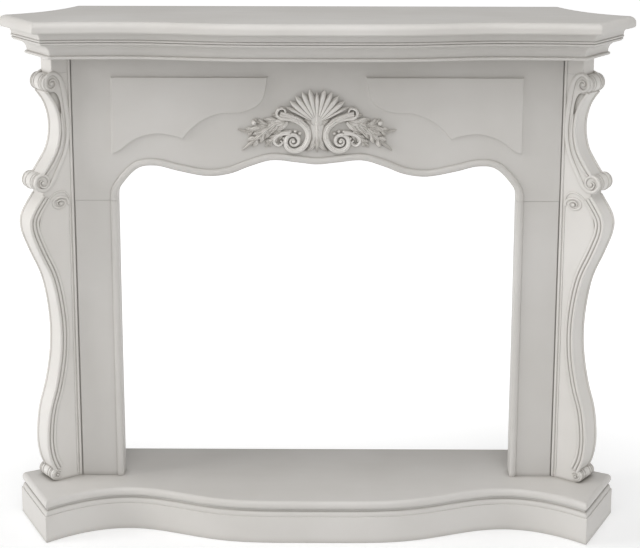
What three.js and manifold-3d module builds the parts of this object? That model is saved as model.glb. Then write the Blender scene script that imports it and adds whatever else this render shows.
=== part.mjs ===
import * as THREE from 'three';
import { mergeVertices } from 'three/addons/utils/BufferGeometryUtils.js';
import Module from 'manifold-3d';

// A painted mantelpiece with a serpentine shelf and base, diagonal scroll consoles at the corners,
// a scalloped fire opening and a shell carved in the middle of the frieze.
// Millimetres, +Z up, front towards -Y, origin under the middle of the whole piece.

const wasm = await Module();
wasm.setup();

// Heights
const BASE_TOP = 103;
const JAMB_TOP = 803;
const SHELF_BOTTOM = 1160;
const SHELF_TOP = 1251;

// Widths from the centre line, and depths from the wall
const JOINT_HALF = 580;
const OPENING_HALF = 478;
const FRONT_DEPTH = 175;
const BOARD = 38;
const GAP = 0.3;

// Corner consoles turn this far from straight ahead
const CONSOLE_TURN = THREE.MathUtils.degToRad(53);
const CONSOLE_WIDTH = 53;

// Plan of the shelf's top edge and of the plinth
const SHELF_PLAN = {
  backHalf: 585,
  cornerX: 628,
  cornerDepth: 352,
  cant: 178,
  cantTurn: THREE.MathUtils.degToRad(57),
  dipX: 430,
  dipDepth: 338,
  centreDepth: 378,
};
const BASE_PLAN = {
  backHalf: 600,
  cornerX: 646,
  cornerDepth: 350,
  cant: 211,
  cantTurn: THREE.MathUtils.degToRad(64),
  dipX: 456,
  dipDepth: 262,
  centreDepth: 343,
};
const MIDDLE_FULLNESS = 2.5;
// How far along its way to the cant the hollow side is pulled out, and how far forwards
const SIDE_PULL = { out: 0.28, depth: 0.74 };
// The share of a moulding's set-back that the hollow sides take
const SIDE_SHARE = 0.35;
const SIDE_STEPS = 8;
const FRONT_CORNER_STEPS = 5;
const FRONT_MIDDLE_STEPS = 9;

// Shelf edge and cornice mouldings
const NOSING = 15;
const SLAB_BOTTOM = 1225;
const SLAB_SHADOW = 11;
const BEAD_BOTTOM = 1196;
const BEAD_TOP = 1208;
const CORNICE_SET_BACK = -41;
const BEAD_SET_BACK = -12;
const ASTRAGAL_TOP = 1168;
const BEAD_PROUD = 5;
const FILLET = 1;
const QUIRK = 3;
const MOULDING_STEPS = 3;
const SMALL_MOULDING_STEPS = 2;

// Base mouldings
const PLINTH_TOP = 66;
const RECESS_BOTTOM = 79;
const RECESS_TOP = 85;
const RECESS = 10;
const BASE_SET_BACK = 3;
const BASE_LIP = 2;
const BASE_ROUND = 8;

// Raised fields and the bead around the opening
const FIELD_RAISE = 6;
const FIELD_COVE = 14;
const FIELD_COVE_STEPS = 2;
const OPENING_BEAD = 8.5;
const OPENING_BEAD_PROUD = 7;
const OPENING_BEAD_SIDES = 5;
// How far an applied piece is let into what it sits on
const LET_IN = 1;

const WALL_Y = (SHELF_PLAN.centreDepth + NOSING) / 2;

const paint = new THREE.MeshStandardMaterial({ color: 0xd8d5cd, roughness: 0.5, metalness: 0 });

// Solids and their joining

const MERGE_DISTANCE = 1e-4;

function toSolid(geometry) {
  geometry.deleteAttribute('normal');
  geometry.deleteAttribute('uv');
  const merged = mergeVertices(geometry, MERGE_DISTANCE);
  const vertProperties = new Float32Array(merged.attributes.position.array);
  const corners = Array.from(merged.index.array);
  const triVerts = new Uint32Array(corners.filter((_, i) => {
    const [a, b, c] = corners.slice(i - (i % 3), i - (i % 3) + 3);
    return a !== b && b !== c && c !== a;
  }));
  return new wasm.Manifold(new wasm.Mesh({ numProp: 3, vertProperties, triVerts }));
}

function toGeometry(solid) {
  const mesh = solid.getMesh();
  const geometry = new THREE.BufferGeometry();
  geometry.setAttribute('position', new THREE.BufferAttribute(new Float32Array(mesh.vertProperties), 3));
  geometry.setIndex(new THREE.BufferAttribute(new Uint32Array(mesh.triVerts), 1));
  geometry.computeVertexNormals();
  return geometry;
}

function join(geometries) {
  return geometries.map(toSolid).reduce((whole, next) => whole.add(next));
}

function mirrored(geometry) {
  const copy = geometry.clone().applyMatrix4(new THREE.Matrix4().makeScale(-1, 1, 1));
  const index = copy.index.array;
  for (let i = 0; i < index.length; i += 3) {
    [index[i], index[i + 1]] = [index[i + 1], index[i]];
  }
  copy.computeVertexNormals();
  return copy;
}

// A skin over rings of points, closed by a flat cap at each end
function ringLoft(rings, outline) {
  const count = outline.length;
  const positions = rings.flat().flatMap((point) => [point.x, point.y, point.z]);
  const triangles = [];
  for (let level = 0; level + 1 < rings.length; level += 1) {
    for (let i = 0; i < count; i += 1) {
      const a = level * count + i;
      const b = level * count + (i + 1) % count;
      triangles.push(a, b, b + count, a, b + count, a + count);
    }
  }
  const last = (rings.length - 1) * count;
  for (const [a, b, c] of THREE.ShapeUtils.triangulateShape(outline, [])) {
    triangles.push(a, c, b, last + a, last + b, last + c);
  }
  const geometry = new THREE.BufferGeometry();
  geometry.setAttribute('position', new THREE.Float32BufferAttribute(positions, 3));
  geometry.setIndex(triangles);
  return geometry;
}

// Turns a shape drawn in width and height to face the front, its back at the given depth from the wall
function faceFront(geometry, backDepth) {
  return geometry.rotateX(Math.PI / 2).translate(0, WALL_Y - backDepth, 0);
}

// Plan outlines, drawn as width and depth from the wall

function frontDepth(plan, x) {
  if (x > plan.dipX) {
    const along = (x - plan.dipX) / (plan.cornerX - plan.dipX);
    return plan.dipDepth + (plan.cornerDepth - plan.dipDepth) * along ** 2;
  }
  const sink = ((1 - Math.cos((Math.PI * x) / plan.dipX)) / 2) ** MIDDLE_FULLNESS;
  return plan.centreDepth - (plan.centreDepth - plan.dipDepth) * sink;
}

// The marks that half a plan is drawn from, from the wall to the front of the cant
function planMarks(plan) {
  const front = new THREE.Vector2(plan.cornerX, plan.cornerDepth);
  const cant = new THREE.Vector2(Math.cos(plan.cantTurn), -Math.sin(plan.cantTurn));
  const outer = front.clone().addScaledVector(cant, plan.cant);
  const wall = new THREE.Vector2(plan.backHalf, 0);
  const pull = new THREE.Vector2(
    wall.x + (outer.x - wall.x) * SIDE_PULL.out,
    outer.y * SIDE_PULL.depth,
  );
  return { wall, pull, outer, front };
}

// Half a plan, from the wall along the hollow side, over the cant and along the front to the centre
function halfPlan(plan) {
  const { wall, pull, outer, front } = planMarks(plan);
  const points = new THREE.QuadraticBezierCurve(wall, pull, outer).getPoints(SIDE_STEPS);
  points.push(front);
  for (let i = 1; i <= FRONT_CORNER_STEPS; i += 1) {
    const x = plan.cornerX + ((plan.dipX - plan.cornerX) * i) / FRONT_CORNER_STEPS;
    points.push(new THREE.Vector2(x, frontDepth(plan, x)));
  }
  for (let i = 1; i <= FRONT_MIDDLE_STEPS; i += 1) {
    const x = plan.dipX * (1 - i / FRONT_MIDDLE_STEPS);
    points.push(new THREE.Vector2(x, frontDepth(plan, x)));
  }
  return points;
}

// Where two edges meet once each has moved outwards along its normal
function movedCorner(corner, normalA, outA, normalB, outB) {
  const spread = normalA.cross(normalB);
  return new THREE.Vector2(
    corner.x + (outA * normalB.y - outB * normalA.y) / spread,
    corner.y + (outB * normalA.x - outA * normalB.x) / spread,
  );
}

// A plan with its front and cants moved outwards evenly, and its sides by their share
function movedPlan(plan, out) {
  const { pull, outer, front } = planMarks(plan);
  const side = outer.clone().sub(pull).normalize();
  const sideNormal = new THREE.Vector2(side.y, -side.x);
  const cantNormal = new THREE.Vector2(Math.sin(plan.cantTurn), Math.cos(plan.cantTurn));
  const slope = (2 * (plan.cornerDepth - plan.dipDepth)) / (plan.cornerX - plan.dipX);
  const frontNormal = new THREE.Vector2(-slope, 1).normalize();
  const movedFront = movedCorner(front, frontNormal, out, cantNormal, out);
  const movedOuter = movedCorner(outer, cantNormal, out, sideNormal, out * SIDE_SHARE);
  return {
    ...plan,
    backHalf: plan.backHalf + out * SIDE_SHARE,
    cornerX: movedFront.x,
    cornerDepth: movedFront.y,
    cant: movedFront.distanceTo(movedOuter),
    dipDepth: plan.dipDepth + out,
    centreDepth: plan.centreDepth + out,
  };
}

// A moulded slab: the plan at each level of a profile, where a level is [height, distance outwards]
function mouldedSlab(plan, profile) {
  const rings = profile.map(([height, out]) => {
    const right = halfPlan(movedPlan(plan, out));
    const left = right.slice(0, -1).map((point) => new THREE.Vector2(-point.x, point.y));
    const around = [...left, ...right.reverse()];
    return around.map((point) => new THREE.Vector3(point.x, WALL_Y - point.y, height));
  });
  return ringLoft(rings, rings[0].map((point) => new THREE.Vector2(point.x, point.y)));
}

// Stretches of a profile between two levels

function hollow(low, high, steps) {
  return Array.from({ length: steps + 1 }, (_, i) => {
    const turn = ((Math.PI / 2) * i) / steps;
    return [
      low[0] + (high[0] - low[0]) * Math.sin(turn),
      low[1] + (high[1] - low[1]) * (1 - Math.cos(turn)),
    ];
  });
}

function rounded(low, high, steps) {
  return Array.from({ length: steps + 1 }, (_, i) => {
    const turn = ((Math.PI / 2) * i) / steps;
    return [
      low[0] + (high[0] - low[0]) * Math.sin(turn),
      high[1] + (low[1] - high[1]) * Math.cos(turn),
    ];
  });
}

function halfRound(bottom, top, setBack, proud, steps) {
  return Array.from({ length: steps + 1 }, (_, i) => {
    const turn = (Math.PI * i) / steps;
    const middle = (bottom + top) / 2;
    return [middle - ((top - bottom) / 2) * Math.cos(turn), setBack + proud * Math.sin(turn)];
  });
}

function mantelShelf() {
  const slabLip = NOSING - SLAB_SHADOW;
  return mouldedSlab(SHELF_PLAN, [
    ...halfRound(SHELF_BOTTOM, ASTRAGAL_TOP, CORNICE_SET_BACK, BEAD_PROUD, MOULDING_STEPS),
    ...hollow(
      [ASTRAGAL_TOP + FILLET, CORNICE_SET_BACK],
      [BEAD_BOTTOM - FILLET, BEAD_SET_BACK - QUIRK],
      MOULDING_STEPS,
    ),
    ...halfRound(BEAD_BOTTOM, BEAD_TOP, BEAD_SET_BACK, BEAD_PROUD, MOULDING_STEPS),
    ...hollow([BEAD_TOP + FILLET, BEAD_SET_BACK + QUIRK], [SLAB_BOTTOM, slabLip], SMALL_MOULDING_STEPS),
    [SLAB_BOTTOM + FILLET, NOSING],
    ...rounded([SHELF_TOP - NOSING, NOSING], [SHELF_TOP, 0], MOULDING_STEPS),
  ]);
}

function hearthBase() {
  return mouldedSlab(BASE_PLAN, [
    [0, 0],
    [PLINTH_TOP, 0],
    [RECESS_BOTTOM, -RECESS],
    [RECESS_TOP, -RECESS],
    [RECESS_TOP + FILLET, -BASE_SET_BACK - BASE_LIP],
    ...rounded(
      [BASE_TOP - BASE_ROUND, -BASE_SET_BACK],
      [BASE_TOP, -BASE_SET_BACK - BASE_ROUND],
      SMALL_MOULDING_STEPS,
    ),
  ]);
}

// Frieze and jambs

const archHalf = [
  [430, 880],
  [385, 888],
  [330, 875],
  [263, 863],
  [208, 869],
  [160, 887],
  [107, 902],
  [50, 897],
];
const ARCH_CENTRE = 892;
const ARCH_SHOULDER = 833;
const ARCH_SHOULDER_IN = 6;
const ARCH_STEPS = 46;

function mirrorPoints(half) {
  const right = half.map(([x, z]) => new THREE.Vector2(x, z));
  const left = half.map(([x, z]) => new THREE.Vector2(-x, z)).reverse();
  return { left, right };
}

// The scalloped lower edge of the frieze, from the left jamb to the right one
function archEdge() {
  const spring = [
    [OPENING_HALF, JAMB_TOP + GAP],
    [OPENING_HALF - ARCH_SHOULDER_IN, ARCH_SHOULDER],
  ];
  const { left, right } = mirrorPoints([...spring, ...archHalf]);
  const middle = new THREE.Vector2(0, ARCH_CENTRE);
  return new THREE.SplineCurve([...left.reverse(), middle, ...right.reverse()]).getPoints(ARCH_STEPS);
}

// A half-round bead along a line in the front plane, lying on the side of its left-hand normal
function frontBead(path) {
  const section = [new THREE.Vector2(2 * OPENING_BEAD, -LET_IN)];
  for (let i = 0; i <= OPENING_BEAD_SIDES; i += 1) {
    const turn = (Math.PI * i) / OPENING_BEAD_SIDES;
    const across = OPENING_BEAD * (1 + Math.cos(turn));
    section.push(new THREE.Vector2(across, OPENING_BEAD_PROUD * Math.sin(turn)));
  }
  section.push(new THREE.Vector2(0, -LET_IN));
  const rings = path.map((point, i) => {
    const along = path[Math.min(i + 1, path.length - 1)].clone().sub(path[Math.max(i - 1, 0)]);
    if (i === 0 || i === path.length - 1) {
      along.setX(0);
    }
    along.normalize();
    return section.map((spot) => new THREE.Vector3(
      point.x - along.y * spot.x,
      WALL_Y - FRONT_DEPTH - spot.y,
      point.y + along.x * spot.x,
    ));
  });
  return ringLoft(rings, section);
}

const FIELD = {
  outer: 486,
  inner: 118,
  top: 1101,
  corner: 920,
  lower: [
    [470, 926],
    [430, 955],
    [384, 967],
    [345, 963],
    [319, 955],
  ],
  upper: [
    [300, 977],
    [269, 1001],
    [228, 1016],
    [185, 1018],
    [149, 1030],
    [128, 1052],
  ],
  lowerSteps: 10,
  upperSteps: 14,
};

// One raised field: a straight top and outer side over two scallops that meet in a cusp
function fieldOutline(side) {
  const spot = ([x, z]) => new THREE.Vector2(side * x, z);
  const cusp = FIELD.lower.at(-1);
  const lower = new THREE.SplineCurve([[FIELD.outer, FIELD.corner], ...FIELD.lower].map(spot));
  const upper = new THREE.SplineCurve([cusp, ...FIELD.upper, [FIELD.inner, FIELD.top]].map(spot));
  const points = [
    spot([FIELD.outer, FIELD.top]),
    ...lower.getPoints(FIELD.lowerSteps),
    ...upper.getPoints(FIELD.upperSteps).slice(1),
  ];
  return side < 0 ? points : points.reverse();
}

// A closed outline drawn in by an even distance, its points counted anticlockwise
function drawnIn(points, distance) {
  return points.map((point, i) => {
    const before = point.clone().sub(points.at(i - 1)).normalize();
    const after = points[(i + 1) % points.length].clone().sub(point).normalize();
    const inwards = new THREE.Vector2(-before.y - after.y, before.x + after.x);
    return point.clone().addScaledVector(inwards, distance / (1 + before.dot(after)));
  });
}

// A field that a cove raises from the board to a sharp arris; the ease makes it larger all round
function raisedField(side, ease = 0) {
  const points = fieldOutline(side);
  const levels = [[-LET_IN, -FIELD_COVE - ease]];
  for (let i = 0; i <= FIELD_COVE_STEPS; i += 1) {
    const turn = ((Math.PI / 2) * i) / FIELD_COVE_STEPS;
    const proud = FIELD_RAISE * (1 - Math.cos(turn));
    const inset = FIELD_COVE * (Math.sin(turn) - 1);
    levels.push([proud + ease, inset - ease]);
  }
  const rings = levels.map(([proud, inset]) => {
    const outline = drawnIn(points, inset);
    return outline.map((point) => new THREE.Vector3(point.x, WALL_Y - FRONT_DEPTH - proud, point.y));
  });
  return ringLoft(rings, points);
}

function frieze() {
  const edge = archEdge();
  const half = JOINT_HALF - GAP;
  const outline = [
    new THREE.Vector2(-half, SHELF_BOTTOM - GAP),
    new THREE.Vector2(-half, JAMB_TOP + GAP),
    ...edge,
    new THREE.Vector2(half, JAMB_TOP + GAP),
    new THREE.Vector2(half, SHELF_BOTTOM - GAP),
  ];
  const board = new THREE.ExtrudeGeometry(new THREE.Shape(outline), { depth: BOARD, bevelEnabled: false });
  faceFront(board, FRONT_DEPTH - BOARD);
  return toGeometry(join([board, frontBead(edge), raisedField(-1), raisedField(1)]));
}

function jamb() {
  const low = BASE_TOP + GAP;
  const high = JAMB_TOP - GAP;
  const width = JOINT_HALF - GAP - OPENING_HALF;
  const board = new THREE.BoxGeometry(width, BOARD, high - low);
  board.translate(OPENING_HALF + width / 2, WALL_Y - FRONT_DEPTH + BOARD / 2, (low + high) / 2);
  const bead = frontBead([new THREE.Vector2(OPENING_HALF, high), new THREE.Vector2(OPENING_HALF, low)]);
  return toGeometry(join([board, bead]));
}

// Corner consoles, drawn as reach from the joint and height

// The overhang is how far a roll runs past the flank that is turned from the opening
const UPPER_ROLL = { reach: 52, height: 1090, radius: 22, overhang: 14 };
const LOWER_ROLL = { reach: 83, height: 855, radius: 21, overhang: 14 };
const FOOT_ROLL = { reach: 70, height: 119.5, radius: 15.5, overhang: 14 };
const FLANK_CURL = { reach: 38, height: 800, radius: 14, overhang: 0 };
const EYE_SHARE = 0.33;
const CAP_REACH = 50;
const CAP_BOTTOM = 1112;
const WAIST = 826;
const JOINT_BEAD = 9;
const REED = 11.5;
const REED_PITCH = 13;
const REED_PROUD = 3;
const EDGE_FILLET = 8;
const ROLL_SIDES = 12;

const neckLine = new THREE.SplineCurve([
  new THREE.Vector2(86, 874),
  new THREE.Vector2(65, 902),
  new THREE.Vector2(47, 931),
  new THREE.Vector2(38, 965),
  new THREE.Vector2(38, 1003),
  new THREE.Vector2(49, 1040),
  new THREE.Vector2(68, 1068),
]);
const bodyLine = new THREE.SplineCurve([
  new THREE.Vector2(77, 130),
  new THREE.Vector2(90, 165),
  new THREE.Vector2(95, 215),
  new THREE.Vector2(87, 285),
  new THREE.Vector2(66, 355),
  new THREE.Vector2(52, 435),
  new THREE.Vector2(52, 520),
  new THREE.Vector2(68, 612),
  new THREE.Vector2(98, 683),
  new THREE.Vector2(118, 738),
  new THREE.Vector2(116, 778),
  new THREE.Vector2(84, WAIST),
]);
const NECK_STEPS = 8;
const BODY_STEPS = 17;

// Extrudes an outline across the console, wider than its flanks by the given amount on each side
function acrossConsole(points, proud) {
  const depth = CONSOLE_WIDTH + 2 * proud;
  const geometry = new THREE.ExtrudeGeometry(new THREE.Shape(points), { depth, bevelEnabled: false });
  return geometry.translate(0, 0, -proud);
}

// The strip between two parallels of a line, counted towards the back
function stripAlong(line, steps, near, far) {
  const spots = Array.from({ length: steps + 1 }, (_, i) => i / steps);
  const parallel = (distance) => spots.map((t) => {
    const along = line.getTangent(t);
    return line.getPoint(t).add(new THREE.Vector2(-along.y, along.x).multiplyScalar(distance));
  });
  return [...parallel(near), ...parallel(far).reverse()];
}

function roll(shape, radius, proud) {
  const length = CONSOLE_WIDTH + shape.overhang + 2 * proud;
  const geometry = new THREE.CylinderGeometry(radius, radius, length, ROLL_SIDES);
  geometry.rotateX(Math.PI / 2);
  return geometry.translate(shape.reach, shape.height, (CONSOLE_WIDTH - shape.overhang) / 2);
}

function cornerConsole() {
  const spot = (reach, height) => new THREE.Vector2(reach, height);
  const block = (reach, low, high) => [spot(0, low), spot(reach, low), spot(reach, high), spot(0, high)];
  const top = SHELF_BOTTOM - GAP;
  const bottom = BASE_TOP + GAP;
  const upper = acrossConsole([
    spot(0, WAIST - LET_IN),
    spot(LOWER_ROLL.reach, WAIST - LET_IN),
    ...neckLine.getPoints(NECK_STEPS),
    spot(UPPER_ROLL.reach, UPPER_ROLL.height),
    spot(CAP_REACH, CAP_BOTTOM + LET_IN),
    spot(0, CAP_BOTTOM + LET_IN),
  ], 0);
  const lower = acrossConsole([
    spot(0, bottom),
    spot(FOOT_ROLL.reach, bottom),
    ...bodyLine.getPoints(BODY_STEPS),
    spot(0, WAIST),
  ], 0);
  const reeds = [0, REED_PITCH].flatMap((back) => [
    acrossConsole(stripAlong(neckLine, NECK_STEPS, back, back + REED), REED_PROUD),
    acrossConsole(stripAlong(bodyLine, BODY_STEPS, back, back + REED), REED_PROUD),
  ]);
  const cap = acrossConsole(block(CAP_REACH, CAP_BOTTOM, top), 0);
  const jointBead = acrossConsole(block(JOINT_BEAD, bottom, top), REED_PROUD);
  const rolls = [UPPER_ROLL, LOWER_ROLL, FOOT_ROLL].map((shape) => roll(shape, shape.radius, REED_PROUD));
  const curl = roll(FLANK_CURL, FLANK_CURL.radius, REED_PROUD);
  const eyes = [UPPER_ROLL, LOWER_ROLL, FLANK_CURL].map((shape) => {
    return roll(shape, shape.radius * EYE_SHARE, 2 * REED_PROUD);
  });
  const whole = join([cap, upper, lower, ...reeds, jointBead, curl, ...eyes]);
  const hollowed = [neckLine, bodyLine].reduce((solid, line) => solid.subtract(frontHollow(line)), whole);
  return placeConsole(toGeometry(hollowed.add(join(rolls))));
}

// The shallow hollow between the fillets along the front of the neck or the body
function frontHollow(line) {
  const steps = line === neckLine ? NECK_STEPS : BODY_STEPS;
  const strip = new THREE.Shape(stripAlong(line, steps, -REED, REED_PROUD));
  const depth = CONSOLE_WIDTH - 2 * EDGE_FILLET;
  const geometry = new THREE.ExtrudeGeometry(strip, { depth, bevelEnabled: false });
  return toSolid(geometry.translate(0, 0, EDGE_FILLET));
}

// Stands the console at the joint, turned to the corner's diagonal
function placeConsole(geometry) {
  const forward = new THREE.Vector3(Math.sin(CONSOLE_TURN), -Math.cos(CONSOLE_TURN), 0);
  const up = new THREE.Vector3(0, 0, 1);
  const towardsFlank = forward.clone().cross(up);
  const start = new THREE.Vector3(JOINT_HALF + GAP, WALL_Y - FRONT_DEPTH, 0);
  start.addScaledVector(towardsFlank, -CONSOLE_WIDTH - REED_PROUD);
  const frame = new THREE.Matrix4().makeBasis(forward, up, towardsFlank).setPosition(start);
  return geometry.applyMatrix4(frame);
}

// Plain returns that close the sides between the consoles and the wall

const RETURN_WALL_HALF = 560;
const RETURN_PULL = [588, 62];

function sideReturn() {
  const forward = new THREE.Vector2(Math.sin(CONSOLE_TURN), Math.cos(CONSOLE_TURN));
  const outwards = new THREE.Vector2(forward.y, -forward.x);
  const joint = new THREE.Vector2(JOINT_HALF + GAP, FRONT_DEPTH).addScaledVector(forward, -2 * GAP);
  const near = joint.clone().addScaledVector(outwards, 2 * REED_PROUD);
  const far = joint.clone().addScaledVector(outwards, CONSOLE_WIDTH + REED_PROUD);
  const wall = new THREE.Vector2(RETURN_WALL_HALF, 0);
  const pull = new THREE.Vector2(...RETURN_PULL);
  const plan = [
    new THREE.Vector2(RETURN_WALL_HALF - BOARD, 0),
    new THREE.Vector2(JOINT_HALF + GAP, FRONT_DEPTH - BOARD - GAP),
    new THREE.Vector2(JOINT_HALF + GAP, near.y),
    near,
    ...new THREE.QuadraticBezierCurve(far, pull, wall).getPoints(SIDE_STEPS),
  ];
  const outline = plan.map((point) => new THREE.Vector2(point.x, WALL_Y - point.y));
  const heights = [BASE_TOP + GAP, SHELF_BOTTOM - GAP];
  const rings = heights.map((z) => outline.map((point) => new THREE.Vector3(point.x, point.y, z)));
  return ringLoft(rings, outline);
}

// The shell carved with scrolls and acanthus, applied to the middle of the frieze and drawn as
// distances right of and above the shell's heart, the left half only

const HEART_HEIGHT = 985;
const SHELL_RIBS = 11;
const SHELL_SPREAD = THREE.MathUtils.degToRad(126);
const SHELL_FOOT = [0, 6];
const RIB = { length: 84, width: 18, raise: 14 };
const MIDDLE_RIB_SHARE = 0.86;
const STEM = { at: [0, 18], turn: Math.PI, length: 76, width: 42, raise: 14 };
const HEART = { at: [0, 4], radius: 15, raise: 16 };
const LEAVES = [
  { at: [-66, 16], turn: -2.15, length: 133, width: 42, raise: 13 },
  { at: [-80, 16], turn: -1.79, length: 109, width: 30, raise: 11 },
  { at: [-112, -4], turn: -1, length: 46, width: 22, raise: 10 },
  { at: [-86, -10], turn: -2.5, length: 56, width: 24, raise: 10 },
  { at: [-70, -26], turn: -2, length: 34, width: 18, raise: 10 },
  { at: [-60, 14], turn: -0.9, length: 40, width: 20, raise: 11 },
  { at: [0, -30], turn: -2.6, length: 38, width: 16, raise: 9 },
];
const BUDS = [
  { at: [-149, 8], radius: 9, raise: 11 },
  { at: [-90, 28], radius: 9, raise: 12 },
  { at: [-56, -36], radius: 7, raise: 11 },
];
const SCROLL_SWEEP = [[-86, 26], [-64, 20], [-42, 11], [-24, -5], [-19, -26]];
const SCROLL_START = THREE.MathUtils.degToRad(198);
const SCROLL = { eye: [-56, -36], reach: 29, drawnIn: 0.72, turns: 1.4 };
const SCROLL_BAND = 5.5;
const SCROLL_TURN_POINTS = 12;
const SCROLL_STEPS = 34;

// A petal's half width and place along it, as shares of its width and length
const PETAL_PROFILE = [[0, 0], [0.32, 0.1], [0.5, 0.45], [0.42, 0.72], [0, 1]];
const PETAL_SIDES = 6;
const BUD_SIDES = 10;
const BUD_RINGS = 6;
const BAND_SIDES = 6;

// A pointed leaf or rib lying in the front plane, half buried in it
function petal({ at, turn, length, width, raise }) {
  const points = PETAL_PROFILE.map(([across, along]) => new THREE.Vector2(across * width, along * length));
  const geometry = new THREE.LatheGeometry(points, PETAL_SIDES);
  geometry.scale(1, 1, raise / (width / 2));
  geometry.rotateZ(-turn);
  return geometry.translate(at[0], at[1], 0);
}

function bud({ at, radius, raise }) {
  const geometry = new THREE.SphereGeometry(radius, BUD_SIDES, BUD_RINGS);
  geometry.rotateX(Math.PI / 2);
  geometry.scale(1, 1, raise / radius);
  return geometry.translate(at[0], at[1], 0);
}

// A rounded band along a curve in the front plane
function band(points) {
  const extrudePath = new THREE.CatmullRomCurve3(points.map(([x, y]) => new THREE.Vector3(x, y, 0)));
  const section = Array.from({ length: BAND_SIDES }, (_, i) => {
    const turn = (2 * Math.PI * i) / BAND_SIDES;
    return new THREE.Vector2(SCROLL_BAND * Math.cos(turn), SCROLL_BAND * Math.sin(turn));
  });
  return new THREE.ExtrudeGeometry(new THREE.Shape(section), { steps: SCROLL_STEPS, extrudePath });
}

// The scroll sweeps down beside the stem and winds in to its eye
function scrollPoints() {
  const winding = Array.from({ length: SCROLL_TURN_POINTS + 1 }, (_, i) => {
    const along = i / SCROLL_TURN_POINTS;
    const reach = SCROLL.reach * (1 - SCROLL.drawnIn * along);
    const turn = SCROLL_START + SCROLL.turns * 2 * Math.PI * along;
    return [SCROLL.eye[0] - reach * Math.cos(turn), SCROLL.eye[1] + reach * Math.sin(turn)];
  });
  return [...SCROLL_SWEEP, ...winding];
}

function shellRibs() {
  return Array.from({ length: SHELL_RIBS }, (_, i) => {
    const turn = SHELL_SPREAD * (i / (SHELL_RIBS - 1) - 0.5);
    const share = 2 * i === SHELL_RIBS - 1 ? MIDDLE_RIB_SHARE : 1;
    return petal({ ...RIB, length: RIB.length * share, at: SHELL_FOOT, turn });
  });
}

// The scroll, leaves and buds of one half; the side is -1 for the left and 1 for the right
function carvedSide(side) {
  const across = ([x, y]) => [-side * x, y];
  const leaves = LEAVES.map((leaf) => petal({ ...leaf, at: across(leaf.at), turn: -side * leaf.turn }));
  const buds = BUDS.map((shape) => bud({ ...shape, at: across(shape.at) }));
  return [...leaves, ...buds, band(scrollPoints().map(across))];
}

function friezeCarving() {
  const parts = [...shellRibs(), petal(STEM), bud(HEART), ...carvedSide(-1), ...carvedSide(1)];
  const placed = parts.map((part) => faceFront(part.translate(0, HEART_HEIGHT, 0), FRONT_DEPTH));
  const inFront = new THREE.BoxGeometry(2 * JOINT_HALF, BOARD, SHELF_TOP);
  inFront.translate(0, WALL_Y - FRONT_DEPTH - GAP - BOARD / 2, SHELF_TOP / 2);
  const fields = join([raisedField(-1, GAP), raisedField(1, GAP)]);
  return toGeometry(join(placed).intersect(toSolid(inFront)).subtract(fields));
}

const group = new THREE.Group();

function addPiece(name, geometry) {
  const mesh = new THREE.Mesh(geometry, paint);
  mesh.name = name;
  group.add(mesh);
}

addPiece('hearth_base', hearthBase());
addPiece('mantel_shelf', mantelShelf());
addPiece('frieze', frieze());
const rightJamb = jamb();
addPiece('jamb_right', rightJamb);
addPiece('jamb_left', mirrored(rightJamb));
const rightConsole = cornerConsole();
addPiece('console_right', rightConsole);
addPiece('console_left', mirrored(rightConsole));
const rightReturn = sideReturn();
addPiece('side_return_right', rightReturn);
addPiece('side_return_left', mirrored(rightReturn));
addPiece('frieze_carving', friezeCarving());

export default group;
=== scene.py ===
import math

import bpy
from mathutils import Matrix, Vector


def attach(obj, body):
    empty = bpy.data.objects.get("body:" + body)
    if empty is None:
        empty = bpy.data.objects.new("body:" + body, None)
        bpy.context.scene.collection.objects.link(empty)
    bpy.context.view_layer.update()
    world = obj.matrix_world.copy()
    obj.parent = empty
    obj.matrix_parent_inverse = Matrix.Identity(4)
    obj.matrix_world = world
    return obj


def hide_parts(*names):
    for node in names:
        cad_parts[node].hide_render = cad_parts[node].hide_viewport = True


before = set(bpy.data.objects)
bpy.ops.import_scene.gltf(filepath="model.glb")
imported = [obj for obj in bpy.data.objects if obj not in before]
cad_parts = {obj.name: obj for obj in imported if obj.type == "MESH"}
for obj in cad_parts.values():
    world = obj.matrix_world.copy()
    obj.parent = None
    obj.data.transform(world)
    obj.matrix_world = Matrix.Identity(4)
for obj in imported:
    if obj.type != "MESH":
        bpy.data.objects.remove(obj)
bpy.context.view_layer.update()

# The photograph's frame, and the camera that stood in front of the mantelpiece
PHOTO_WIDTH = 640
FOCAL_PIXELS = 1600
HORIZON_PIXELS = 96
SENSOR = 36.0
CAMERA_AT = (0.0213, -3.7155, 1.656)
CAMERA_TURN = (math.radians(90 - 12.04), math.radians(-0.11), math.radians(0.24))

# Sizes in millimetres: heights, half widths from the middle and depths out from the wall
MILLIMETRE = 0.001
WALL = 196.5
BASE_TOP = 103
JAMB_TOP = 803
SHELF_BOTTOM = 1160
SHELF_TOP = 1251
JOINT_HALF = 580
OPENING_HALF = 478
FRONT_DEPTH = 175
BOARD = 38
GAP = 0.3
# How far an applied moulding is let into what it sits on
LET_IN = 1

# Plans of the shelf and the base
SHELF_PLAN = {
    "back_half": 585, "corner_x": 628, "corner_depth": 352, "cant": 178,
    "cant_turn": math.radians(57), "dip_x": 430, "dip_depth": 338, "centre_depth": 378,
}
BASE_PLAN = {
    "back_half": 600, "corner_x": 646, "corner_depth": 350, "cant": 211,
    "cant_turn": math.radians(64), "dip_x": 456, "dip_depth": 262, "centre_depth": 343,
}
NOSING = 15
# How far along its way to the cant the hollow side is pulled out, and how far forwards
SIDE_PULL = (0.28, 0.74)
# The share of a moulding's set-back that the hollow sides take
SIDE_SHARE = 0.35
MIDDLE_FULLNESS = 2.5
SIDE_STEPS = 24
CORNER_STEPS = 18
MIDDLE_STEPS = 40
EASING = 3.5
EASING_STEPS = 4

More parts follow.
